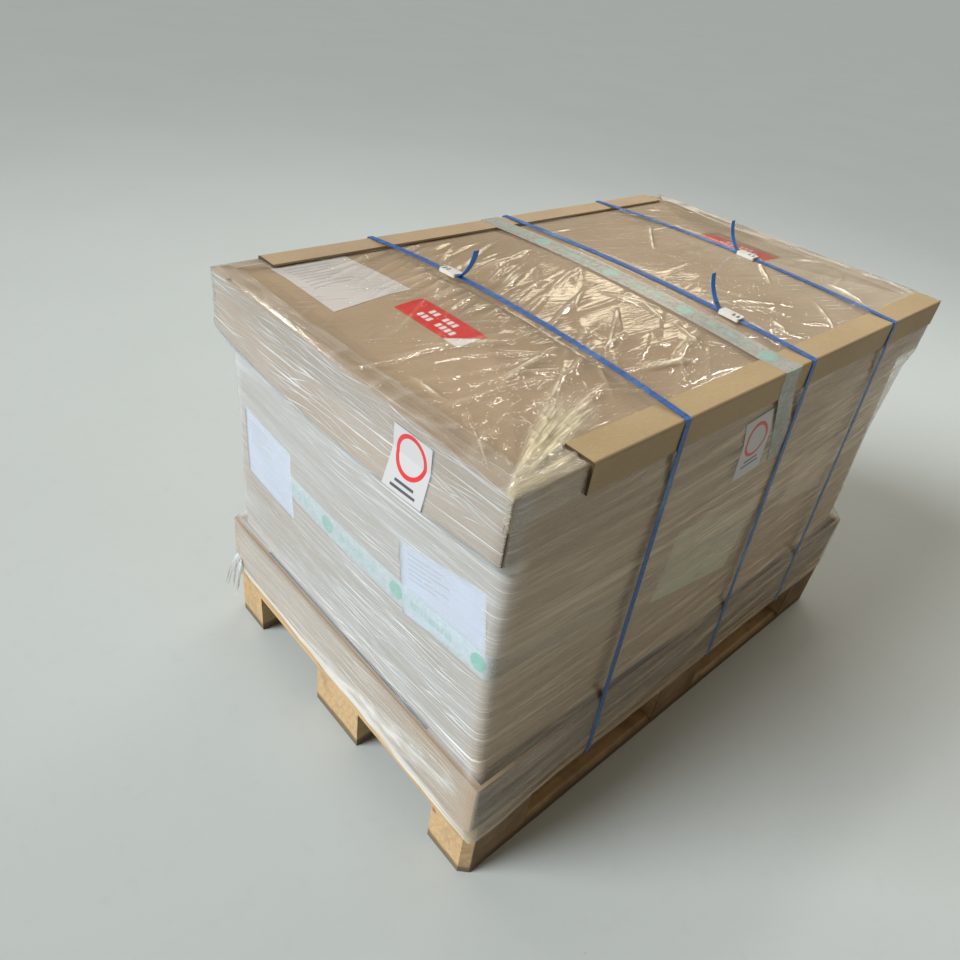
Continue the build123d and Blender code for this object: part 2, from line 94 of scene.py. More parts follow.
def noise(x, y, seed):
    """Smooth noise from 0 to 1 with cells of size 1."""
    x, y = np.asarray(x, float), np.asarray(y, float)
    xi, yi = np.floor(x), np.floor(y)
    tx, ty = x - xi, y - yi
    tx, ty = tx * tx * (3 - 2 * tx), ty * ty * (3 - 2 * ty)
    low = hashed(xi, yi, seed) * (1 - tx) + hashed(xi + 1, yi, seed) * tx
    high = hashed(xi, yi + 1, seed) * (1 - tx) + hashed(xi + 1, yi + 1, seed) * tx
    return low * (1 - ty) + high * ty


def ridges(x, y, seed, sharpness):
    """Thin crests from 0 to 1 along the middle level of the noise."""
    return (1 - np.abs(2 * noise(x, y, seed) - 1)) ** sharpness


def ease(x, start, end):
    """0 before start, 1 after end, smooth between."""
    t = np.clip((np.asarray(x, float) - start) / (end - start), 0, 1)
    return t * t * (3 - 2 * t)


def beyond(x):
    """x where it is over 0, and 0 elsewhere."""
    return np.clip(x, 0, None)


def hump(away, width):
    """1 at 0, falling off on both sides over the width."""
    return np.exp(-((away / width) ** 2))


def new_mesh(name, points, faces, smooth=True):
    """An object with one mesh, in the scene."""
    mesh = bpy.data.meshes.new(name)
    mesh.from_pydata([tuple(p) for p in points], [], [tuple(f) for f in faces])
    mesh.polygons.foreach_set("use_smooth", [smooth] * len(mesh.polygons))
    mesh.update()
    piece = bpy.data.objects.new(name, mesh)
    bpy.context.scene.collection.objects.link(piece)
    return piece


def grid_faces(rows, columns):
    """Quads of a grid whose points run along columns first."""
    row, column = np.meshgrid(np.arange(rows - 1), np.arange(columns - 1), indexing="ij")
    first = row * columns + column
    return np.stack([first, first + 1, first + columns + 1, first + columns], -1).reshape(-1, 4)


def set_float(piece, name, values):
    """Store one number for each point of the piece."""
    attribute = piece.data.attributes.new(name, "FLOAT", "POINT")
    attribute.data.foreach_set("value", np.asarray(values, np.float32).ravel())


def set_uv(piece, u, v):
    """Store flat coordinates, in metres, for the piece's texture."""
    layer = piece.data.uv_layers.new(name="flat")
    index = np.empty(len(piece.data.loops), np.int64)
    piece.data.loops.foreach_get("vertex_index", index)
    pairs = np.stack([np.ravel(u)[index], np.ravel(v)[index]], -1)
    layer.data.foreach_set("uv", pairs.astype(np.float32).ravel())


def middle_of(node):
    """X and Y of the middle of a node's box."""
    low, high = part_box(node)
    return ((low.x + high.x) / 2, (low.y + high.y) / 2)


def surface_of(node):
    """A tree that answers where rays hit a node's mesh."""
    mesh = nodes[node].data
    return BVHTree.FromPolygons([v.co for v in mesh.vertices], [p.vertices for p in mesh.polygons])


def cast(tree, origin, direction):
    """Where a ray first hits, or None."""
    return tree.ray_cast(Vector(origin), Vector(direction))[0]


class Graph:
    """A material's nodes, with short calls for the ones used here. Below, g is a Graph."""

    def __init__(self, name):
        self.material = bpy.data.materials.new(name)
        self.material.use_nodes = True
        self.tree = self.material.node_tree
        self.tree.nodes.clear()
        self.output = self.tree.nodes.new("ShaderNodeOutputMaterial")

    def plug(self, socket, value):
        if isinstance(value, bpy.types.NodeSocket):
            self.tree.links.new(value, socket)
        else:
            socket.default_value = value

    def add(self, kind, inputs, **settings):
        node = self.tree.nodes.new(kind)
        for key, value in settings.items():
            setattr(node, key, value)
        for key, value in inputs.items():
            self.plug(node.inputs[key], value)
        return node

    def place(self):
        return self.add("ShaderNodeTexCoord", {}).outputs["Object"]

    def flat(self):
        return self.add("ShaderNodeUVMap", {}, uv_map="flat").outputs[0]

    def stored(self, name):
        return self.add("ShaderNodeAttribute", {}, attribute_name=name).outputs["Fac"]

    def calc(self, operation, *values, clamp=False):
        inputs = dict(enumerate(values))
        return self.add("ShaderNodeMath", inputs, operation=operation, use_clamp=clamp).outputs[0]

    def plus(self, a, b):
        return self.calc("ADD", a, b)

    def minus(self, a, b):
        return self.calc("SUBTRACT", a, b)

    def times(self, a, *others):
        for other in others:
            a = self.calc("MULTIPLY", a, other)
        return a

    def times_plus(self, a, b, c, clamp=False):
        return self.calc("MULTIPLY_ADD", a, b, c, clamp=clamp)

    def near(self, value, middle, half):
        return self.calc("COMPARE", value, middle, half)

    def less(self, a, b):
        return self.calc("LESS_THAN", a, b)

    def more(self, a, b):
        return self.calc("GREATER_THAN", a, b)

    def parts(self, vector):
        node = self.add("ShaderNodeSeparateXYZ", {0: vector})
        return node.outputs[0], node.outputs[1], node.outputs[2]

    def join(self, x, y):
        return self.add("ShaderNodeCombineXYZ", {0: x, 1: y}).outputs[0]

    def fit(self, vector, scale=(1, 1, 1), shift=(0, 0, 0), turn=(0, 0, 0)):
        inputs = {"Vector": vector, "Scale": scale, "Location": shift, "Rotation": turn}
        return self.add("ShaderNodeMapping", inputs).outputs[0]

    def noise(self, vector, scale, detail=3.0, roughness=0.5, warp=0.0):
        inputs = {"Vector": vector, "Scale": scale, "Detail": detail, "Roughness": roughness}
        return self.add("ShaderNodeTexNoise", {**inputs, "Distortion": warp}).outputs["Fac"]

    def cells(self, vector, scale):
        return self.add("ShaderNodeTexVoronoi", {"Vector": vector, "Scale": scale}).outputs["Distance"]

    def between(self, value, low, high, start=0.0, end=1.0):
        inputs = {"Value": value, "From Min": low, "From Max": high, "To Min": start, "To Max": end}
        return self.add("ShaderNodeMapRange", inputs, clamp=True).outputs[0]

    def mix(self, factor, a, b):
        inputs = {0: factor, 6: a, 7: b}
        return self.add("ShaderNodeMix", inputs, data_type="RGBA").outputs[2]

    def stain(self, color, mask, low, high, strength, other):
        return self.mix(self.between(mask, low, high, 0.0, strength), color, other)

    def bump(self, height, distance, strength):
        inputs = {"Height": height, "Distance": distance, "Strength": strength}
        return self.add("ShaderNodeBump", inputs).outputs[0]

    def principled(self, **inputs):
        named = {key.replace("_", " "): value for key, value in inputs.items()}
        return self.add("ShaderNodeBsdfPrincipled", named).outputs[0]

    def finish(self, shader):
        self.tree.links.new(shader, self.output.inputs["Surface"])
        return self.material


def rgb(red, green, blue):
    """An opaque colour for a socket."""
    return (red, green, blue, 1.0)


def lid_marks(g, color):
    """The lid's raw joints: a dark slit beside each long wall, and a lock slot in one fold."""
    x, y, z = g.parts(g.place())
    joint = -LID_LOW.y - 0.0095
    side = g.near(g.calc("ABSOLUTE", y), joint, 0.0013)
    ends = g.more(g.calc("ABSOLUTE", x), LID_HIGH.x - 0.024)
    below = g.less(z, LID_HIGH.z - 0.012)
    slit = g.times(side, ends, below)
    lock_x, lock_y = LID_LOW.x + 0.012, 0.25
    outer = g.times(g.near(x, lock_x, 0.0075), g.near(y, lock_y, 0.036))
    inner = g.times(g.near(x, lock_x, 0.0050), g.near(y, lock_y, 0.032))
    on_top = g.more(z, LID_HIGH.z - 0.003)
    lock = g.times(g.minus(outer, inner), on_top)
    return g.mix(g.times(g.calc("MAXIMUM", slit, lock), 0.85), color, rgb(0.05, 0.035, 0.025))


def board_material(name, base, dark, flute_axis):
    """Corrugated board: fibres, faint flutes along one axis, stains and scuffs; on the sleeve and tray,
    painted shade at the tray's rim.
    """
    g = Graph(name)
    flute = 0.0075
    place = g.place()
    x, y, z = g.parts(place)
    across = {"x": g.plus(y, z), "z": g.plus(x, y)}[flute_axis]
    wave = g.calc("SINE", g.times(across, 2 * math.pi / flute))
    fibre = g.noise(g.fit(place, (1, 1, 0.25)), 900.0, 2.0, 0.6)
    cloud = g.noise(place, 5.0, 4.0, 0.55)
    patch = g.noise(place, 24.0, 4.0, 0.6, 0.4)
    color = g.mix(g.between(cloud, 0.3, 0.7), base, dark)
    color = g.stain(color, patch, 0.35, 0.75, 0.25, rgb(0.30, 0.21, 0.13))
    color = g.stain(color, fibre, 0.45, 0.75, 0.22, rgb(0.62, 0.5, 0.36))
    color = g.stain(color, wave, -1.0, 1.0, 0.07, rgb(0.2, 0.14, 0.09))
    if name == "board_lid":
        color = lid_marks(g, color)
    if name == "board_sleeve":
        # Painted shade: the sleeve just above the tray's rim is painted near-black, for the shade in the
        # gap between tray wall and sleeve
        foot = g.between(z, TRAY_HIGH.z + 0.001, TRAY_HIGH.z + 0.008, 0.92, 0.0)
        color = g.mix(foot, color, rgb(0.025, 0.018, 0.012))
    if name == "board_tray":
        # Painted shade: inside the tray, below its rim, the board is painted dark for the shade in the gap
        # down to the sleeve
        beside = g.more(TRAY_HIGH.x - BOARD_WALL, g.calc("ABSOLUTE", x))
        below = g.less(z, TRAY_HIGH.z - 0.0015)
        color = g.mix(g.times(beside, below, 0.8), color, rgb(0.04, 0.028, 0.018))
    height = g.times_plus(wave, 0.35, fibre)
    shader = g.principled(
        Base_Color=color,
        Roughness=g.between(patch, 0.3, 0.7, 0.72, 0.9),
        Normal=g.bump(height, 0.0003, 0.5),
    )
    return g.finish(shader)


def timber_material(name, grain_axis, shift):
    """Sawn pine: long grain, rings on the end faces, knots, saw marks, dirt, and painted shade on the
    front faces.
    """
    g = Graph(name)
    base = rgb(0.57, 0.415, 0.235)
    place = g.place()
    moved = g.fit(place, (1, 1, 1), (shift * 0.37, shift * 0.61, shift * 0.23))
    x, y, z = g.parts(moved)
    if grain_axis == "x":
        along, side = x, y
        streak_scale, saw_scale, knot_scale = (3, 90, 90), (40, 9, 22), (2.2, 9, 9)
    else:
        along, side = y, x
        streak_scale, saw_scale, knot_scale = (90, 3, 90), (9, 40, 22), (9, 2.2, 9)
    bend = g.times(g.noise(moved, 3.0, 2.0), 0.05)
    ring_x = g.plus(side, bend)
    ring_z = g.plus(z, g.times(along, 0.02))
    radius = g.calc("POWER", g.plus(g.times(ring_x, ring_x), g.times(ring_z, ring_z)), 0.5)
    streak = g.noise(g.fit(moved, streak_scale), 1.6, 4.0, 0.62, 0.3)
    rings = g.calc("SINE", g.times_plus(radius, 420.0, g.times(streak, 1.4)))
    saw = g.noise(g.fit(moved, saw_scale), 3.0, 3.0, 0.6)
    knot = g.cells(g.fit(moved, knot_scale), 1.3)
    color = g.mix(g.between(streak, 0.3, 0.7), base, rgb(0.44, 0.295, 0.15))
    color = g.stain(color, rings, -0.2, 1.0, 0.12, rgb(0.32, 0.17, 0.07))
    color = g.mix(g.between(knot, 0.05, 0.11, 0.75, 0.0), color, rgb(0.12, 0.055, 0.025))
    grime = g.noise(place, 14.0, 5.0, 0.65)
    color = g.stain(color, grime, 0.52, 0.75, 0.5, rgb(0.16, 0.12, 0.085))
    _, py, pz = g.parts(place)
    # Darker along the bottom few centimetres, next to the floor
    foot = g.between(g.times_plus(grime, 0.022, pz), 0.025, 0.034, 0.8, 0.0)
    color = g.mix(foot, color, rgb(0.10, 0.08, 0.06))
    # Painted shade: faces in front of FRONT_FACE are darkened towards dark brown, by an amount that varies
    # with the grime noise
    front_shade = g.times(g.less(py, FRONT_FACE), g.between(grime, 0.3, 0.6, 0.60, 0.86))
    color = g.mix(front_shade, color, rgb(0.12, 0.065, 0.03))
    height = g.times_plus(saw, 0.3, g.times(streak, 0.6))
    shader = g.principled(Base_Color=color, Roughness=0.82, Normal=g.bump(height, 0.0009, 0.45))
    return g.finish(shader)


def protector_material(name, node, light, dark):
    """Laminated board: smooth tan face, dark specks, and painted shade on the cut ends."""
    g = Graph(name)
    place = g.place()
    fibre = g.noise(g.fit(place, (0.15, 1, 1)), 700.0, 3.0, 0.6)
    cloud = g.noise(place, 7.0, 3.0)
    color = g.mix(g.between(cloud, 0.3, 0.7), light, dark)
    color = g.stain(color, fibre, 0.5, 0.8, 0.25, rgb(0.68, 0.56, 0.38))
    speck = g.noise(place, 160.0, 2.0, 0.6)
    color = g.stain(color, speck, 0.68, 0.75, 0.5, rgb(0.3, 0.2, 0.1))
    # Painted shade: the cut end is painted near-black for the dark shade line at the protector's end,
    # though the sun lights that face
    cut = g.less(g.parts(place)[0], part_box(node)[0].x + 0.0012)
    color = g.mix(g.times(cut, 0.9), color, rgb(0.05, 0.03, 0.015))
    shader = g.principled(Base_Color=color, Roughness=0.62, Normal=g.bump(fibre, 0.0003, 0.45))
    return g.finish(shader)


def strap_material():
    """Blue strapping with a pressed waffle, scuffs and a soft shine, with a painted sheen and tails
    painted bright as if lit from behind.
    """
    g = Graph("strapping")
    x, y, z = g.parts(g.place())
    run = g.plus(y, z)
    first = g.calc("SINE", g.times(g.plus(run, x), 2 * math.pi / 0.004))
    second = g.calc("SINE", g.times(g.minus(run, x), 2 * math.pi / 0.004))
    waffle = g.calc("MAXIMUM", first, second)
    scuff = g.noise(g.place(), 140.0, 4.0, 0.6)
    notch = g.between(g.calc("SINE", g.times(run, 2 * math.pi / 0.021)), 0.86, 0.95)
    blue, worn = rgb(0.018, 0.105, 0.36), rgb(0.09, 0.25, 0.50)
    color = g.stain(blue, scuff, 0.5, 0.8, 0.35, worn)
    # Painted highlight: soft patches of pale blue sheen laid into the strap's colour
    painted_sheen = g.noise(g.place(), 11.0, 2.0, 0.5)
    color = g.stain(color, painted_sheen, 0.52, 0.72, 0.55, rgb(0.14, 0.33, 0.58))
    color = g.mix(g.times(notch, 0.45), color, rgb(0.004, 0.012, 0.05))
    # Painted light: the tails above the lid are painted bright blue, for daylight shining through them
    # from behind
    backlit_tail = g.between(z, LID_HIGH.z + 0.012, LID_HIGH.z + 0.018)
    color = g.mix(backlit_tail, color, rgb(0.03, 0.28, 0.88))
    shader = g.principled(
        Base_Color=color,
        Roughness=g.between(scuff, 0.3, 0.7, 0.26, 0.46),
        Normal=g.bump(waffle, 0.0004, 0.6),
    )
    return g.finish(shader)


def buckle_material():
    """Creamy moulded plastic, a little dirty."""
    g = Graph("buckle_plastic")
    dirt = g.noise(g.place(), 120.0, 4.0, 0.6)
    color = g.stain(rgb(0.64, 0.63, 0.58), dirt, 0.5, 0.8, 0.5, rgb(0.40, 0.37, 0.31))
    shader = g.principled(Base_Color=color, Roughness=0.35, Normal=g.bump(dirt, 0.0003, 0.3))
    return g.finish(shader)


def goods_material():
    """The plain core, which only shows if the board is lifted off."""
    g = Graph("goods")
    cloud = g.noise(g.place(), 9.0, 4.0)
    color = g.mix(cloud, rgb(0.3, 0.22, 0.14), rgb(0.42, 0.32, 0.22))
    return g.finish(g.principled(Base_Color=color, Roughness=0.9))


class Label(Graph):
    """Local coordinates on a flat label, for the plain marks printed on it."""

    def __init__(self, name, node, base, face, turn=0.0):
        super().__init__(name)
        self.color = base
        low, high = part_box(node)
        middle = (low + high) / 2
        x, y, z = self.parts(self.place())
        side, up = {"top": (x, y), "end": (y, z), "front": (x, z)}[face]
        side_middle, up_middle = {"top": middle.xy, "end": middle.yz, "front": middle.xz}[face]
        side = self.minus(side, side_middle)
        if face == "end":
            side = self.times(side, -1.0)
        up = self.minus(up, up_middle)
        c, s = math.cos(math.radians(turn)), math.sin(math.radians(turn))
        self.u = self.plus(self.times(side, c), self.times(up, s))
        self.v = self.minus(self.times(up, c), self.times(side, s))

    def paint(self, mask, color, strength=1.0):
        mask = self.times(mask, strength)
        self.color = self.mix(mask, self.color, color)

    def bar(self, u, v, width, height, color, strength=1.0):
        """A plain printed bar around a centre."""
        mask = self.times(self.near(self.u, u, width / 2), self.near(self.v, v, height / 2))
        self.paint(mask, color, strength)

    def ring(self, u, v, radius, width, color, strength=1.0):
        """A plain printed ring around a centre."""
        du = self.minus(self.u, u)
        dv = self.minus(self.v, v)
        square = self.plus(self.times(du, du), self.times(dv, dv))
        distance = self.calc("POWER", square, 0.5)
        self.paint(self.near(distance, radius, width / 2), color, strength)

    def corner(self, u, v, width, height, color):
        """A bare folded corner, cut off by a slanting line."""
        across = self.calc("DIVIDE", self.minus(self.u, u), width)
        up = self.calc("DIVIDE", self.minus(self.v, v), height)
        self.paint(self.less(self.plus(across, up), 1.0), color)

    def finish(self, roughness=0.5, grain=0.2):
        place = self.place()
        fibre = self.noise(place, 600.0, 2.0, 0.5)
        cloud = self.noise(place, 14.0, 3.0, 0.5)
        self.color = self.stain(self.color, cloud, 0.4, 0.8, grain, rgb(0.45, 0.43, 0.4))
        normal = self.bump(self.times_plus(cloud, 6.0, fibre), 0.0004, 0.4)
        shader = self.principled(Base_Color=self.color, Roughness=roughness, Normal=normal)
        return super().finish(shader)


def printed_lines(label, rows, left, top, pitch, thickness, color, strength):
    """Ragged rows of bars, each row split into plain blocks."""
    for row, lengths in enumerate(rows):
        start = left
        for length in lengths:
            label.bar(start + length / 2, top - row * pitch, length, thickness, color, strength)
            start += length + thickness * 1.6


def film_material(name, tint, streak, roughness, cells, relief, crumple, gloss, gold):
    """Clear film: see-through, with milky streaks, fine wrinkles and a hard shine; over the lid, its
    milkiest creases are painted as glints.

    cells gives the size of the streaks along and across, their angle and how rare they are.
    """
    g = Graph(name)
    flat = g.flat()
    lines = None
    for number, (along, across, angle, level) in enumerate(cells):
        turned = g.fit(flat, (1, 1, 1), (0.37 * number, 0.71 * number, 0), (0, 0, math.radians(angle)))
        stretched = g.fit(turned, (1 / along, 1 / across, 1 / across))
        found = g.between(g.noise(stretched, 1.0, 2.0, 0.6), level, level + 0.14)
        lines = found if lines is None else g.calc("MAXIMUM", lines, found)
    cloud = g.noise(flat, 4.0, 3.0, 0.5)
    wide = g.noise(g.fit(flat, (2.2, 14, 14)), 1.0, 2.0, 0.55)
    base = g.times(g.between(wide, 0.25, 0.8, 0.7, 1.3), g.stored("milky"))
    patchy = g.times(g.between(cloud, 0.3, 0.7, 0.3 * streak, streak), g.stored("streaky"))
    alpha = g.times_plus(lines, patchy, base, clamp=True)
    if name == "film_side":
        slanted = g.fit(flat, (1, 1, 1), (0, 0, 0), (0, 0, math.radians(3)))
        band = g.noise(g.fit(slanted, (3.5, 46, 46)), 1.0, 2.0, 0.6)
        band = g.times(g.between(band, 0.42, 0.70), g.stored("golden"))
        alpha = g.times_plus(band, 0.34, alpha, clamp=True)
    fine = g.noise(g.fit(flat, (12, 160, 160)), 1.0, 2.0, 0.6)
    height = g.times_plus(fine, crumple, g.times(lines, 0.6))
    golden = g.stored("golden")
    if name == "film_top":
        x, y, _ = g.parts(flat)
        right = g.minus(x, CORNER[0])
        back = g.minus(y, CORNER[1] + SHEET_HIGH.z)
        spoke = g.times(g.calc("ARCTAN2", back, right), 48.0)
        reach = g.calc("POWER", g.times_plus(right, right, g.times(back, back)), 0.5)
        pleat = g.noise(g.join(spoke, g.times(reach, 13.0)), 1.0, 3.0, 0.6, 0.5)
        pleat = g.times(g.between(pleat, 0.46, 0.62), golden)
        height = g.times_plus(pleat, 1.6, height)
        alpha = g.times_plus(pleat, 0.45, alpha, clamp=True)
    normal = g.bump(height, relief, 0.6)
    color = g.mix(golden, tint, gold)
    line_color = g.mix(golden, rgb(0.9, 0.9, 0.88), rgb(0.82, 0.70, 0.46))
    color = g.mix(g.times(lines, 0.6), color, line_color)
    if name == "film_top":
        # Painted highlight: over the lid, the milkiest creases are painted near-white, warmer where
        # golden, as glints
        bright = g.between(g.stored("milky"), 0.35, 0.85, 0.0, 0.85)
        glint_color = g.mix(golden, rgb(0.95, 0.91, 0.80), rgb(0.94, 0.82, 0.52))
        color = g.mix(bright, color, glint_color)
    veil = g.principled(Base_Color=color, Roughness=0.5, Alpha=alpha, Normal=normal)
    shine = g.add("ShaderNodeBsdfGlossy", {"Roughness": roughness, "Normal": normal}).outputs[0]
    facing = g.add("ShaderNodeLayerWeight", {"Blend": 0.5, "Normal": normal}).outputs["Facing"]
    edge = g.times_plus(g.calc("POWER", facing, 5.0), gloss, 0.075)
    both = g.add("ShaderNodeMixShader", {0: edge, 1: veil, 2: shine}).outputs[0]
    return g.finish(both)


def paint_nodes(material, name):
    """Give a CAD node its finish."""
    data = nodes[name].data
    data.materials.clear()
    data.materials.append(material)


def paint(piece, material):
    """Give a piece of this script its finish and its body."""
    piece.data.materials.append(material)
    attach(piece, "root")


def make_stage():
    """A pale floor that runs out to a pale horizon."""
    far = 60
    corners = [(-far, -far, 0), (far, -far, 0), (far, far, 0), (-far, far, 0)]
    floor = new_mesh("floor", corners, [(0, 1, 2, 3)], False)
    g = Graph("pale_floor")
    place = g.place()
    cloud = g.noise(place, 1.3, 4.0, 0.5)
    color = g.mix(cloud, rgb(0.465, 0.507, 0.503), rgb(0.505, 0.548, 0.545))
    speck = g.between(g.cells(place, 7.0), 0.012, 0.030, 0.7, 0.0)
    kept = g.between(g.noise(place, 5.0, 1.0), 0.55, 0.62)
    color = g.mix(g.times(speck, kept), color, rgb(0.16, 0.16, 0.15))
    wear = g.noise(place, 22.0, 4.0, 0.7)
    color = g.stain(color, wear, 0.55, 0.8, 0.12, rgb(0.30, 0.32, 0.31))
    floor.data.materials.append(g.finish(g.principled(Base_Color=color, Roughness=0.55)))

    world = bpy.data.worlds.new("studio")
    bpy.context.scene.world = world
    world.use_nodes = True
    tree = world.node_tree
    lighting = tree.nodes["Background"]
    lighting.inputs["Color"].default_value = WORLD_COLOR
    lighting.inputs["Strength"].default_value = WORLD_LEVEL
    backdrop = tree.nodes.new("ShaderNodeBackground")
    backdrop.inputs["Color"].default_value = BACKDROP_COLOR
    paths = tree.nodes.new("ShaderNodeLightPath")
    seen = tree.nodes.new("ShaderNodeMath")
    seen.operation = "MAXIMUM"
    tree.links.new(paths.outputs["Is Camera Ray"], seen.inputs[0])
    tree.links.new(paths.outputs["Is Transmission Ray"], seen.inputs[1])
    choice = tree.nodes.new("ShaderNodeMixShader")
    tree.links.new(seen.outputs[0], choice.inputs[0])
    tree.links.new(lighting.outputs[0], choice.inputs[1])
    tree.links.new(backdrop.outputs[0], choice.inputs[2])
    tree.links.new(choice.outputs[0], tree.nodes["World Output"].inputs["Surface"])


def turn_to(place, target):
    """The turn of a lamp at a place that points it at a target."""
    return (Vector(place) - Vector(target)).to_track_quat("Z", "Y").to_euler()


def add_light(name, kind, color, power):
    data = bpy.data.lights.new(name, kind)
    data.color = color
    data.energy = power
    light = bpy.data.objects.new(name, data)
    bpy.context.scene.collection.objects.link(light)
    light.visible_camera = False
    return light


def make_lights():
    """Broad daylight from the left and behind, a faint warm lamp before the front, and the strips."""
    sun = add_light("daylight", "SUN", (0.96, 0.985, 1.0), SUN_LEVEL)
    sun.data.angle = math.radians(SUN_SPREAD)
    sun.rotation_euler = turn_to(SUN_FROM, (0, 0, 0))
    sun.visible_glossy = False
    room = add_light("room", "AREA", ROOM_COLOR, ROOM_POWER)
    room.data.shape = "DISK"
    room.data.size = 1.6
    room.location = ROOM_PLACE
    room.rotation_euler = turn_to(ROOM_PLACE, (0, 0, 0.5))
    room.visible_glossy = False
    for number, (place, length, width, power, spin, color) in enumerate(PANELS):
        panel = add_light(f"panel_{number}", "AREA", color, power)
        panel.data.shape = "RECTANGLE"
        panel.data.size = length
        panel.data.size_y = width
        panel.location = place
        panel.rotation_euler = turn_to(place, (0, 0, 0.8))
        panel.rotation_euler.rotate_axis("Z", math.radians(spin))


def make_camera():
    data = bpy.data.cameras.new("camera")
    data.sensor_width = 36.0
    data.sensor_fit = "HORIZONTAL"
    data.lens = CAMERA_LENS
    camera = bpy.data.objects.new("camera", data)
    bpy.context.scene.collection.objects.link(camera)
    camera.location = CAMERA_PLACE
    camera.rotation_euler = tuple(math.radians(a) for a in CAMERA_TURN)
    bpy.context.scene.camera = camera


# Film over the lid
CORNER = (LID_LOW.x, -SHEET_HIGH.y)
BUCKLES = [middle_of(f"buckle_{name}") for name in STRAPS]

# Creases in families: how many, box of their middles, angle and its spread, lengths, height, width
CREASES = [
    (46, (-0.43, -0.15, -0.06, 0.31), 22, 9, (0.08, 0.26), 0.0040, 0.0036),
    (12, (-0.60, -0.32, -0.20, -0.04), -22, 14, (0.10, 0.24), 0.0034, 0.0050),
    (16, (-0.45, -0.10, -0.30, -0.10), 38, 26, (0.06, 0.20), 0.0030, 0.0042),
    (14, (-0.25, 0.02, -0.25, 0.20), 12, 22, (0.10, 0.30), 0.0030, 0.0050),
    (12, (0.06, 0.24, -0.30, -0.12), -32, 30, (0.05, 0.14), 0.0032, 0.0040),
    (14, (0.10, 0.58, -0.28, 0.30), -10, 40, (0.08, 0.26), 0.0022, 0.0055),
    (10, (-0.20, 0.05, 0.00, 0.30), 60, 24, (0.08, 0.22), 0.0022, 0.0050),
    (70, (-0.57, -0.42, -0.31, -0.20), 60, 70, (0.010, 0.032), 0.0022, 0.0030),
    (26, (-0.60, -0.40, -0.16, -0.05), -30, 50, (0.012, 0.035), 0.0016, 0.0030),
]
# The clearest single folds: X and Y of both ends on the lid, in millimetres
FOLDS = [
    (-382, 130, -292, 154), (-374, 69, -302, 87), (-406, 13, -303, 56), (-361, 7, -307, 14),
    (-252, 209, -167, 273), (-226, 176, -71, 263), (-247, 85, -136, 147), (-251, 45, -177, 77),
    (-330, 192, -265, 193), (-87, -40, -63, -115), (-49, -94, -71, -158), (-120, -100, -234, -178),
    (-60, -183, -90, -254), (79, -227, 69, -300), (299, -248, 221, -333), (418, -216, 413, -287),
    (-349, -24, -192, 31), (-248, 57, -110, 130), (-376, -102, -243, -77), (-192, -64, -108, -9),
    (-337, -123, -253, -121), (-469, -183, -327, -146), (-455, -172, -353, -154), (-423, -240, -341, -189),
    (-396, -268, -333, -254), (-258, -245, -132, -270), (-236, -239, -150, -264), (-552, -99, -550, -180),
    (-424, -80, -375, -99), (-236, -118, -222, -157), (-251, -180, -179, -163), (-436, -286, -349, -264),
    (-458, -296, -384, -287), (132, -188, 185, -256), (91, -225, 68, -289), (129, -250, 121, -285),
    (-73, -53, -30, -137), (-121, -97, -175, -153), (-69, -238, -28, -269), (496, -100, 558, -126),
    (358, -84, 288, -150), (326, 182, 210, 84),
]
FOLD_HEIGHT, FOLD_WIDTH = 0.0036, 0.0028
# The bunch at the near corner: how many, lowest and highest angle, lengths, height, width
PLEATS = [
    (34, 1, 31, (0.10, 0.27), 0.0034, 0.0026),
    (7, 32, 76, (0.10, 0.22), 0.0026, 0.0036),
]


def add_crease(lift, x, y, middle, angle, length, height, width, bend=0.0):
    """Raise one straight or bent fold, highest at its middle."""
    near = (np.abs(x - middle[0]) < length) & (np.abs(y - middle[1]) < length)
    dx, dy = x[near] - middle[0], y[near] - middle[1]
    along = dx * math.cos(angle) + dy * math.sin(angle)
    across = dy * math.cos(angle) - dx * math.sin(angle) - bend * along**2
    taper = np.clip(1 - (2 * along / length) ** 2, 0, 1)
    lift[near] += height * taper * hump(across, width)


def top_creases(x, y):
    """The folds over the lid, each from its family, and the bunch at the near corner."""
    draw = np.random.default_rng(7)
    folds = np.zeros_like(x)
    for count, (x0, x1, y0, y1), angle, spread, (short, long), height, width in CREASES:
        for _ in range(count):
            middle = (draw.uniform(x0, x1), draw.uniform(y0, y1))
            turn = math.radians(angle + spread * draw.uniform(-1, 1))
            size = draw.uniform(short, long)
            rise = height * draw.uniform(0.35, 1.0)
            wide = width * draw.uniform(0.7, 1.4)
            add_crease(folds, x, y, middle, turn, size, rise, wide, draw.uniform(-1.2, 1.2))
    clear = np.zeros_like(x)
    for x0, y0, x1, y1 in np.array(FOLDS) / 1000:
        middle = ((x0 + x1) / 2, (y0 + y1) / 2)
        turn = math.atan2(y1 - y0, x1 - x0)
        size = 1.25 * math.hypot(x1 - x0, y1 - y0)
        add_crease(clear, x, y, middle, turn, size, FOLD_HEIGHT, FOLD_WIDTH, draw.uniform(-0.8, 0.8))
    bunch = np.zeros_like(x)
    for count, low, high, (short, long), height, width in PLEATS:
        for _ in range(count):
            turn = math.radians(draw.uniform(low, high))
            size = draw.uniform(short, long)
            out = 0.45 * size
            middle = (CORNER[0] + out * math.cos(turn), CORNER[1] + 0.006 + out * math.sin(turn))
            rise = height * draw.uniform(0.4, 1.0)
            add_crease(bunch, x, y, middle, turn, size, rise, width, draw.uniform(-0.8, 0.8))
    return folds, clear, bunch


def tape_middle(y):
    """X of the middle of the tape over the lid, at a Y."""
    low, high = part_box("tape_top")
    back, front = TAPE_ENDS
    return front + (back - front) * (y - low.y) / (high.y - low.y)


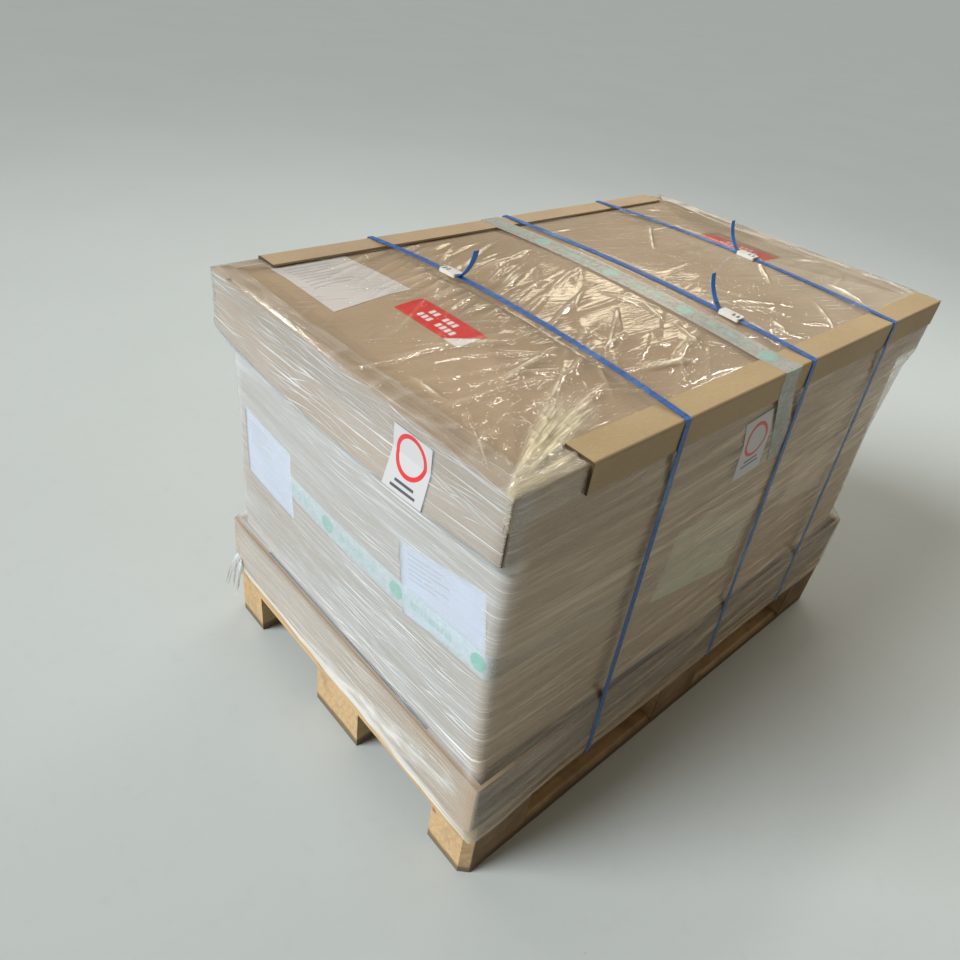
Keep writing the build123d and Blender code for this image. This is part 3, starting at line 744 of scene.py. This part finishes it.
def top_room(x, y):
    """How far the film may rise before it meets a strap, buckle, tape or protector."""
    cap = np.full_like(x, 0.012)
    for bx, by in BUCKLES:
        room = 0.0010 + 0.004 * np.clip(np.abs(y) / 0.3, 0, 1) ** 2
        cap = np.minimum(cap, room + 0.35 * beyond(np.abs(x - bx) - 0.008))
        away_x = beyond(np.abs(x - bx) - 0.012)
        away_y = beyond(np.abs(y - by) - 0.024)
        cap = np.minimum(cap, 0.0003 + 0.35 * np.hypot(away_x, away_y))
    cap = np.minimum(cap, 0.0002 + 0.2 * beyond(np.abs(x - tape_middle(y)) - 0.0265))
    inner = -PROTECTOR_LOW.y - 0.050
    front = (y < 0) & (x > PROTECTOR_LOW.x - 0.003)
    cap = np.where(front, np.minimum(cap, 0.0002 + 0.3 * beyond(y + inner - 0.002)), cap)
    back_low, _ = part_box("edge_protector_back")
    back = (y > 0) & (x > back_low.x - 0.003)
    cap = np.where(back, np.minimum(cap, 0.0002 + 0.3 * beyond(inner - 0.002 - y)), cap)
    edge = np.minimum(SHEET_HIGH.x - np.abs(x), SHEET_HIGH.y - np.abs(y))
    return np.minimum(cap, 0.0004 + 0.30 * beyond(edge))


def top_lift(x, y):
    """How far the film over the lid stands off it, how milky it is, with painted glints along its clearest
    folds, and how golden.
    """
    folds, clear, bunch = top_creases(x, y)
    swell = noise(x * 7, y * 8, 81) * 0.0034 + noise(x * 17, y * 15, 82) * 0.0016
    lift = folds + clear + bunch + swell
    aim = np.degrees(np.arctan2(y - CORNER[1], x - CORNER[0]))
    reach = np.hypot(x - CORNER[0], y - CORNER[1])
    long_part = ease(reach, 0.30, 0.18) * ease(aim, 14, 19)
    fan = ease(aim, 37, 29) * ease(aim, -4, 1) * np.maximum(long_part, ease(reach, 0.160, 0.115))
    # Painted highlight: the clearest folds get strong, broken milk, which the top film paints as
    # near-white glints, golden along these folds
    broken = 0.3 + 0.7 * ease(noise(x * 45, y * 45, 91), 0.3, 0.6)
    on_clear = np.clip(clear / FOLD_HEIGHT, 0, 1)
    milk = 0.26 * np.clip(folds / 0.004, 0, 1) ** 1.6 + 0.75 * broken * on_clear**1.5
    milk = milk + 0.42 * fan + 60.0 * bunch * np.maximum(fan, 0.3)
    golden = np.clip(fan + 0.35 * on_clear, 0, 1)
    return np.minimum(lift, top_room(x, y)), np.clip(milk, 0, 0.9), golden


def over_stickers(x, y):
    """1 where the film lies flat on a red sticker, so that its colour stays strong."""
    found = np.zeros_like(x)
    for name in ("sticker_left", "sticker_right"):
        low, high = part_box(name)
        away = np.maximum.reduce([low.x - x, x - high.x, low.y - y, y - high.y])
        found = np.maximum(found, ease(away, 0.004, -0.004))
    return found


def make_top_film():
    """The sheet over the lid, creased by the straps and gathered to the near corner."""
    step = 0.0032
    half_x, half_y = SHEET_HIGH.x - 0.0002, SHEET_HIGH.y - 0.0002
    columns = int(2 * half_x / step)
    rows = int(2 * half_y / step)
    xs = np.linspace(-half_x, half_x, columns)
    ys = np.linspace(-half_y, half_y, rows)
    gy, gx = np.meshgrid(ys, xs, indexing="ij")
    tree = surface_of("top_sheet")
    base = np.empty_like(gx)
    over = SHEET_HIGH.z + 0.05
    inset = 0.9985
    for i in range(rows):
        for j in range(columns):
            found = cast(tree, (gx[i, j] * inset, gy[i, j] * inset, over), (0, 0, -1))
            base[i, j] = found.z if found else np.nan
    base[np.isnan(base)] = np.nanmin(base)
    lift, milk, golden = top_lift(gx, gy)
    points = np.stack([gx, gy, base + lift], -1)
    clear_film = 1 - 0.7 * over_stickers(gx, gy)
    right_veil = 0.15 * ease(gx, -0.25, 0.05) + 0.28 * ease(gx, 0.15, 0.50) * ease(gy, 0.25, -0.05)
    milk = (milk + 0.05 + right_veil) * clear_film
    drop_rows, hang = 9, 0.042
    index = np.arange(rows * columns).reshape(rows, columns)
    ring = np.concatenate([index[0, :], index[1:, -1], index[-1, -2::-1], index[-2:0:-1, 0]])
    top = points.reshape(-1, 3)
    rim = top[ring]
    count = len(ring)
    along = np.arange(count) * step
    strips = [top]
    for k in range(1, drop_rows + 1):
        depth = hang * k / drop_rows * (0.8 + 0.4 * noise(along * 7, along * 0, 141))
        strips.append(rim - np.stack([along * 0, along * 0, depth], -1))
    everything = np.concatenate(strips)
    lines = [ring] + [len(top) + k * count + np.arange(count) for k in range(drop_rows)]
    sides = [np.stack([a, b, np.roll(b, -1), np.roll(a, -1)], -1) for a, b in zip(lines, lines[1:])]
    piece = new_mesh("film_over_lid", everything, np.concatenate([grid_faces(rows, columns)] + sides))
    for name, values in (("milky", milk.ravel()), ("golden", golden.ravel())):
        set_float(piece, name, np.concatenate([values] + [values[ring] * 0.5] * drop_rows))
    set_float(piece, "streaky", np.concatenate([clear_film.ravel(), np.ones(count * drop_rows)]))
    set_uv(piece, everything[:, 0], everything[:, 1] + everything[:, 2])
    cells = [(0.14, 0.006, 22, 0.60), (0.08, 0.005, -30, 0.64), (0.06, 0.004, 65, 0.67)]
    tint, gold = rgb(0.80, 0.68, 0.50), rgb(0.88, 0.80, 0.56)
    film = film_material("film_top", tint, 0.30, 0.055, cells, 0.0016, 0.30, 0.85, gold)
    paint(piece, film)
    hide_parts("top_sheet")


# Papers under the film at the left end: half across, half up, turn
END_PAPERS = {
    "sheet_near": (0.088, 0.070, 9.0),
    "sheet_far": (0.088, 0.0735, 0.0),
    "tape_sleeve": (0.30, 0.025, 0.0),
}


def over_paper(x, y, z):
    """1 where the film lies on a sheet or on tape at the left end, so that it is clear there."""
    found = np.zeros_like(x)
    for name, (half_across, half_up, turn) in END_PAPERS.items():
        low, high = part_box(name)
        c, s = math.cos(math.radians(turn)), math.sin(math.radians(turn))
        side = -(y - (low.y + high.y) / 2)
        up = z - (low.z + high.z) / 2
        if name == "tape_sleeve":
            side = np.where(y < high.y, 0.0, 1.0)
        u, v = side * c + up * s, up * c - side * s
        away = np.maximum(np.abs(u) - half_across, np.abs(v) - half_up)
        found = np.maximum(found, ease(away, 0.001, -0.006) * (0.8 if name == "tape_sleeve" else 1.0))
    return found


def tray_slit(z):
    """1 along the dark gap over the tray's rim, where the film is clear."""
    return hump(z - TRAY_HIGH.z - 0.005, 0.008)


def wrap_milk(x, y, z, left_end, right_end):
    """How milky the film is: most at the left end, under the lid's lower edge, with a painted highlight
    down the near corner.
    """
    lid_wall = ease(z, LID_LOW.z - 0.004, LID_LOW.z + 0.004)
    tray_wall = ease(z, TRAY_HIGH.z + 0.006, TRAY_HIGH.z - 0.006)
    sleeve_milk = 0.43 + 0.09 * ease(z, 0.35, 0.62)
    lid_milk = 0.25 - 0.12 * y
    tray_milk = 0.13 + 0.27 * ease(y, -0.36, -0.10)
    left = sleeve_milk * (1 - lid_wall) * (1 - tray_wall) + lid_milk * lid_wall + tray_milk * tray_wall
    slit = tray_slit(z)
    left = left * (1 - 0.95 * slit) * (1 - 0.8 * over_paper(x, y, z))
    band_middle = 0.20 * beyond(-y - 0.05)
    band_width = 0.016 + 0.05 * beyond(-y)
    bright = hump(z - 0.155 - band_middle, band_width)
    wrinkled = 0.25 + 1.1 * ridges(y * 16 + z * 8, z * 130 + 20 * y, 301, 2)
    left = left + 0.50 * bright * wrinkled * tray_wall * ease(-y, -0.20, 0.10) * ease(y, -0.385, -0.31)
    # Painted highlight: a soft pale stripe down the near vertical corner of the left end
    corner_highlight = hump(y + 0.372, 0.010) * (1 - lid_wall) * (1 - tray_wall)
    left = left + 0.25 * corner_highlight
    under_lid = 0.18 * hump(z - 0.58, 0.09)
    long_side = (0.15 - 0.05 * lid_wall + under_lid) * (1 - 0.95 * slit)
    return left_end * left + right_end * 0.26 + (1 - left_end) * (1 - right_end) * long_side


def torn_tail(first):
    """Twisted strips of torn film that hang at the tray's far left corner."""
    draw = np.random.default_rng(19)
    points, faces = [], []
    steps, across = 16, 4
    for _ in range(7):
        length = draw.uniform(0.05, 0.095)
        width = draw.uniform(0.004, 0.010)
        lean = draw.uniform(0.25, 0.55)
        sway = draw.uniform(-0.15, 0.10)
        turn = draw.uniform(0, 3.0)
        start_y = TRAY_HIGH.y - draw.uniform(0.002, 0.030)
        start = np.array([TRAY_LOW.x - 0.001, start_y, draw.uniform(0.148, 0.172)])
        for i in range(steps):
            share = i / (steps - 1)
            swing = sway + 0.2 * math.sin(4 * share + turn) * share
            middle = start + length * share * np.array([-lean, swing, -0.85])
            angle = turn + 2.6 * share
            aside = np.array([math.cos(angle), math.sin(angle), 0.15 * math.sin(7 * share)])
            spread = width * (1 - 0.75 * share) * (1 + 0.25 * math.sin(9 * share + turn))
            for j in range(across):
                points.append(middle + aside * spread * (j / (across - 1) - 0.5))
        strip = grid_faces(steps, across) + first + len(points) - steps * across
        faces.append(strip)
    return np.array(points), np.concatenate(faces)


def make_wrap():
    """The stretch film round the load, in level turns with fine folds, over the lid's edges."""
    tree = surface_of("film_wrap")
    inner_x, inner_y, corner = 0.560, 0.330, 0.02
    step = 0.006
    arc_steps = 10
    path = []
    sides = [
        ((-inner_x, -inner_y + corner), (-inner_x, inner_y - corner), (-1, 0)),
        ((-inner_x + corner, inner_y), (inner_x - corner, inner_y), (0, 1)),
        ((inner_x, inner_y - corner), (inner_x, -inner_y + corner), (1, 0)),
        ((inner_x - corner, -inner_y), (-inner_x + corner, -inner_y), (0, -1)),
    ]
    for start, end, out in sides:
        run_x, run_y = end[0] - start[0], end[1] - start[1]
        count = int(math.hypot(run_x, run_y) / step)
        for k in range(count):
            t = k / count
            path.append((start[0] + run_x * t, start[1] + run_y * t, out[0], out[1]))
        bend = math.atan2(out[1], out[0])
        centre = (end[0] - out[0] * corner, end[1] - out[1] * corner)
        for k in range(arc_steps):
            angle = bend - math.radians(90 / arc_steps * k)
            c, s = math.cos(angle), math.sin(angle)
            path.append((centre[0] + corner * c, centre[1] + corner * s, c, s))
    # The seam lies on the back, out of the camera's view
    path = np.roll(np.array(path), -len(path) * 2 // 5, axis=0)
    path = np.concatenate([path, path[:1]])
    count = len(path)
    levels = 118
    heights = np.linspace(WRAP_LOW.z + 0.0005, WRAP_HIGH.z - 0.0010, levels)
    away = 0.3
    hit = np.empty((levels, count, 3))
    for i, z in enumerate(heights):
        for j, (px, py, nx, ny) in enumerate(path):
            found = cast(tree, (px + nx * away, py + ny * away, z), (-nx, -ny, 0))
            if found is None:
                hit[i, j] = hit[i - 1, j]
                hit[i, j, 2] = z
            else:
                hit[i, j] = found
    middle = hit[levels // 2]
    gaps = np.linalg.norm(np.diff(middle[:, :2], axis=0), axis=1)
    along = np.concatenate([[0], np.cumsum(gaps)])
    s, z = np.meshgrid(along, heights)
    out_x = np.broadcast_to(path[:, 2], s.shape)
    out_y = np.broadcast_to(path[:, 3], s.shape)
    slope = 0.10 * (noise(s * 1.4, z * 2, 201) - 0.5)
    level = z + slope * 0.5
    fold = ridges(s * 2.2, level * 62, 211, 5) * ease(noise(s * 2.5, z * 6, 221), 0.35, 0.7)
    fine = ridges(s * 6 + 3, (level + 0.02 * noise(s * 4, z * 9, 231)) * 120, 241, 3)
    lift = 0.0022 * fold + 0.0007 * fine + 0.0010 * noise(s * 8, z * 10, 251)
    left_end = ease(-out_x, 0.3, 0.9)
    right_end = ease(out_x, 0.3, 0.9)
    roll_height = LID_LOW.z - 0.014 + 0.006 * (noise(s * 3, s * 0, 291) - 0.5)
    roll = left_end * hump(z - roll_height, 0.007)
    lift = lift + 0.0045 * roll
    x, y = hit[..., 0], hit[..., 1]
    cap = np.full_like(lift, 0.006)
    on_end = np.where(np.abs(out_y) < 0.5, 1, 0)
    for strap_x, _ in BUCKLES:
        room = 0.0007 + 0.12 * beyond(np.abs(x - strap_x) - 0.03)
        cap = np.minimum(cap, room + on_end)
    for sticker in ("ring_sticker_end", "ring_sticker_front", "tape_top"):
        low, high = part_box(sticker)
        gap = np.maximum.reduce([low.x - x, x - high.x, low.y - y, y - high.y, low.z - z, z - high.z])
        cap = np.minimum(cap, 0.15 * beyond(gap - 0.004))
    covered = (z > PROTECTOR_LOW.z - 0.006) & (np.abs(out_y) > 0.5)
    cap = np.where(covered, 0.0, cap)
    from_corner = np.hypot(np.abs(x) - WRAP_HIGH.x, np.abs(y) - WRAP_HIGH.y)
    tight = hump(from_corner, 0.065) * ease(z, LID_LOW.z + 0.01, LID_LOW.z - 0.03)
    lift = beyond(np.minimum(lift * (1 - 0.8 * tight), cap))
    long_sides = (1 - left_end) * (1 - right_end)
    on_tray = ease(z, TRAY_HIGH.z + 0.004, TRAY_HIGH.z - 0.004)
    calm = (1 - 0.7 * tight) * (1 - 0.6 * long_sides * on_tray) * (1 - 0.95 * tray_slit(z))
    milk = wrap_milk(x, y, z, left_end, right_end) + (0.14 * fold + 0.05 * fine) * calm + 0.35 * roll
    streaky = (0.8 + 0.2 * np.maximum(left_end, right_end)) * calm
    streaky = streaky * (1 - 0.45 * long_sides * ease(x, 0.15, -0.35))
    below_lid = ease(z, LID_LOW.z + 0.004, LID_LOW.z - 0.004)
    streaky = streaky * (1 - 0.45 * left_end * ease(y, -0.20, 0.15) * below_lid)
    streaky = streaky * (1 - 0.85 * over_paper(x, y, z) * left_end)
    points = np.stack([x + out_x * lift, y + out_y * lift, np.broadcast_to(z, x.shape)], -1)
    foot = ease(z, heights[0] + 0.03, heights[0])
    near_corner = hump(np.hypot(x + 0.60, y + 0.395), 0.13)
    ragged = 0.010 * (noise(s * 5, z * 0, 261) - 0.35) + 0.004 * noise(s * 30, z * 0, 262)
    points[..., 2] += foot * (ragged - 0.030 * near_corner * noise(s * 16, z * 0, 264))
    foot_roll = ease(z, heights[0] + 0.026, heights[0] + 0.012)
    milk = milk + 0.45 * foot_roll * (0.35 + 0.65 * left_end) * ease(noise(s * 9, z * 40, 263), 0.1, 0.5)

    flap_rows = 10
    flap, flap_milk = [], []
    rim = points[-1]
    for k in range(1, flap_rows + 1):
        share = k / flap_rows
        reach = (0.036 + 0.018 * noise(along * 5, along * 0, 271)) * share
        px = np.sign(rim[:, 0]) * np.minimum(np.abs(rim[:, 0]), SHEET_HIGH.x + 0.0011 - reach)
        py = np.sign(rim[:, 1]) * np.minimum(np.abs(rim[:, 1]), SHEET_HIGH.y + 0.0011 - reach)
        bump = top_lift(px, py)[0]
        flap.append(np.stack([px, py, np.full(count, WRAP_HIGH.z) + bump], -1))
        torn = ease(noise(along * 30, along * 0 + 3 * share, 285), 0.2, 0.7)
        fringe = 0.5 * ease(path[:, 2], 0.3, 0.9) * torn
        flap_milk.append(0.05 + 0.2 * ridges(along * 22, np.full(count, share), 281, 4) + fringe)
    rows = levels + flap_rows
    tail_points, tail_faces = torn_tail(rows * count)
    everything = np.concatenate([points.reshape(-1, 3)] + flap + [tail_points])
    faces = np.concatenate([grid_faces(rows, count)[:, ::-1], tail_faces])
    piece = new_mesh("stretch_film", everything, faces)
    extra = len(tail_points)
    on_flap = np.full(count * flap_rows, 0.4)
    set_float(piece, "milky", np.concatenate([milk.ravel()] + flap_milk + [np.full(extra, 0.55)]))
    set_float(piece, "streaky", np.concatenate([streaky.ravel(), on_flap, np.ones(extra)]))
    # Golden tint on the long sides: partly the film's own warm cast over brown board, partly painted warm
    # light on the front
    warm = (0.85 + 0.15 * ease(x, -0.25, 0.35)) * long_sides + 0.22 * left_end * on_tray
    set_float(piece, "golden", np.concatenate([warm.ravel(), on_flap, np.zeros(extra)]))
    above = [np.full(count, heights[-1] + 0.005 * (k + 1)) for k in range(flap_rows)]
    v = np.concatenate([z.ravel()] + above + [tail_points[:, 2]])
    set_uv(piece, np.concatenate([np.tile(along, rows), tail_points[:, 1]]), v)
    cells = [
        (0.26, 0.0042, 1.5, 0.56),
        (0.15, 0.0032, -5, 0.59),
        (0.18, 0.0036, 8, 0.60),
        (0.09, 0.005, 17, 0.66),
    ]
    tint, gold = rgb(0.63, 0.67, 0.69), rgb(0.85, 0.65, 0.41)
    film = film_material("film_side", tint, 0.85, 0.12, cells, 0.0010, 1.0, 0.35, gold)
    paint(piece, film)
    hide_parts("film_wrap")


def make_node_materials():
    """Every CAD node that stays in view gets its own finish."""
    brown = rgb(0.42, 0.31, 0.20)
    for name, dark, flute_axis in (
        ("lid", rgb(0.34, 0.25, 0.16), "x"),
        ("tray", rgb(0.36, 0.27, 0.18), "z"),
        ("sleeve", rgb(0.36, 0.27, 0.18), "z"),
    ):
        paint_nodes(board_material(f"board_{name}", brown, dark, flute_axis), name)
    paint_nodes(goods_material(), "load_core")
    for name, node, light, dark in (
        ("protector_board", "edge_protector_front", rgb(0.405, 0.292, 0.152), rgb(0.345, 0.247, 0.125)),
        ("protector_under_film", "edge_protector_back", rgb(0.41, 0.30, 0.19), rgb(0.34, 0.25, 0.16)),
    ):
        paint_nodes(protector_material(name, node, light, dark), node)
    strapping = strap_material()
    buckle = buckle_material()
    for name in STRAPS:
        paint_nodes(strapping, f"strap_{name}")
        paint_nodes(buckle, f"buckle_{name}")
    timbers = [n for n in nodes if n.startswith(("bottom_board", "block", "stringer", "deck_board"))]
    for number, name in enumerate(sorted(timbers)):
        axis = "y" if name.startswith("stringer") else "x"
        paint_nodes(timber_material(f"timber_{name}", axis, 1.0 + number), name)


def make_labels():
    """Plain printed labels: bars and rings only."""
    white = rgb(0.56, 0.63, 0.76)
    grey = rgb(0.30, 0.31, 0.34)
    red = rgb(0.62, 0.03, 0.035)

    for name, turn in (("sheet_near", 9.0), ("sheet_far", 0.0)):
        sheet = Label(f"paper_{name}", name, white, "end", turn)
        rows = [(0.05, 0.02), (0.07,), (0.04, 0.045), (0.05,), (0.03, 0.02, 0.03), (0.06,)]
        printed_lines(sheet, rows, -0.07, 0.052, 0.0085, 0.0022, grey, 0.5)
        paint_nodes(sheet.finish(), name)

    document = Label("paper_document", "document", rgb(0.60, 0.58, 0.56), "top")
    rows = [(0.03, 0.05), (0.09,), (0.05, 0.03), (0.07,), (0.02, 0.06), (0.08,), (0.05,)]
    rows += [(0.04, 0.04), (0.07,)]
    printed_lines(document, rows, -0.058, 0.088, 0.0135, 0.0030, grey, 0.75)
    paint_nodes(document.finish(), "document")

    for name, face, turn in (("ring_sticker_end", "end", 1.0), ("ring_sticker_front", "front", 5.0)):
        sticker = Label(f"paper_{name}", name, rgb(0.53, 0.53, 0.54), face, turn)
        sticker.ring(0.0, 0.014, 0.0285, 0.0065, red)
        sticker.bar(0.0, -0.026, 0.038, 0.0042, rgb(0.08, 0.08, 0.09))
        sticker.bar(0.0, -0.035, 0.050, 0.0042, rgb(0.08, 0.08, 0.09))
        paint_nodes(sticker.finish(0.35, 0.1), name)

    bare = rgb(0.74, 0.72, 0.70)
    for name, turn in (("sticker_left", 0.0), ("sticker_right", 7.0)):
        sticker = Label(f"paper_{name}", name, rgb(0.62, 0.022, 0.025), "top", turn)
        for block in (0, 1, 3, 4, 5):
            sticker.bar(0.010, 0.030 - 0.011 * block, 0.012, 0.0075, bare)
        for block in (0, 1, 2, 4, 5, 6, 7):
            sticker.bar(-0.009, 0.036 - 0.011 * block, 0.012, 0.0075, bare)
        if name == "sticker_left":
            sticker.corner(-0.029, -0.0785, 0.046, 0.034, bare)
        paint_nodes(sticker.finish(0.35, 0.1), name)

    green = Label("paper_green", "label_green", rgb(0.53, 0.57, 0.43), "front", -10.0)
    paint_nodes(green.finish(), "label_green")
    pale = Label("paper_white", "label_white", rgb(0.60, 0.51, 0.43), "front", -8.0)
    printed_lines(pale, [(0.05, 0.03), (0.06,), (0.04,)], -0.08, 0.03, 0.014, 0.003, grey, 0.25)
    paint_nodes(pale.finish(), "label_white")


def tape_material(name, face):
    """Clear tape with pale printed rings and rows of blocks, and trapped bubbles."""
    g = Graph(name)
    place = g.place()
    x, y, z = g.parts(place)
    if face == "top":
        slant = (TAPE_ENDS[0] - TAPE_ENDS[1]) / 0.8
        centre = g.times_plus(y, slant, sum(TAPE_ENDS) / 2)
        along, across = g.plus(y, z), g.minus(x, centre)
        pitch, first, strength = 0.18, 0.062, 0.55
        pale, dull = rgb(0.50, 0.50, 0.45), rgb(0.45, 0.45, 0.40)
    else:
        along, across = g.minus(x, y), g.minus(z, SLEEVE_TAPE_Z)
        pitch, first, strength = 0.19, 1.042, 0.9
        pale, dull = rgb(0.74, 0.88, 0.94), rgb(0.70, 0.82, 0.87)
    ring_place, ring_radius = 0.03, 0.0165
    row_place, row_half = 0.115, 0.048
    turns = g.calc("DIVIDE", g.plus(along, first), pitch)
    step = g.times(g.calc("FRACT", turns), pitch)
    from_ring = g.minus(step, ring_place)
    square = g.times_plus(from_ring, from_ring, g.times(across, across))
    disc = g.less(square, ring_radius**2)
    blocks = g.more(g.noise(g.join(along, 0.0), 130.0, 0.0), 0.47)
    row = g.times(g.near(step, row_place, row_half), g.near(across, 0.0, 0.0065), blocks)
    print_mask = g.calc("MAXIMUM", g.times(disc, strength), g.times(row, 0.45))
    bubbles = g.noise(place, 90.0, 3.0, 0.6)
    cloud = g.noise(place, 18.0, 3.0, 0.5)
    color = g.mix(g.between(cloud, 0.35, 0.7), pale, dull)
    color = g.mix(print_mask, color, rgb(0.20, 0.56, 0.46))
    alpha = g.times_plus(print_mask, 0.35, g.between(bubbles, 0.3, 0.7, 0.45, 0.68), clamp=True)
    if face == "side":
        front = g.between(along, -0.240, -0.205)
        alpha = g.times(alpha, g.times_plus(front, -0.9, 1.0))
        color = g.mix(g.times(front, 0.7), color, rgb(0.34, 0.33, 0.22))
    normal = g.bump(g.plus(bubbles, cloud), 0.001, 0.4)
    shader = g.principled(Base_Color=color, Roughness=0.25, Alpha=alpha, Normal=normal)
    return g.finish(shader)


make_camera()
make_stage()
make_lights()
make_node_materials()
make_labels()
paint_nodes(tape_material("tape_over_lid", "top"), "tape_top")
paint_nodes(tape_material("tape_round_sleeve", "side"), "tape_sleeve")
make_top_film()
make_wrap()

bpy.context.scene.view_settings.view_transform = "Standard"
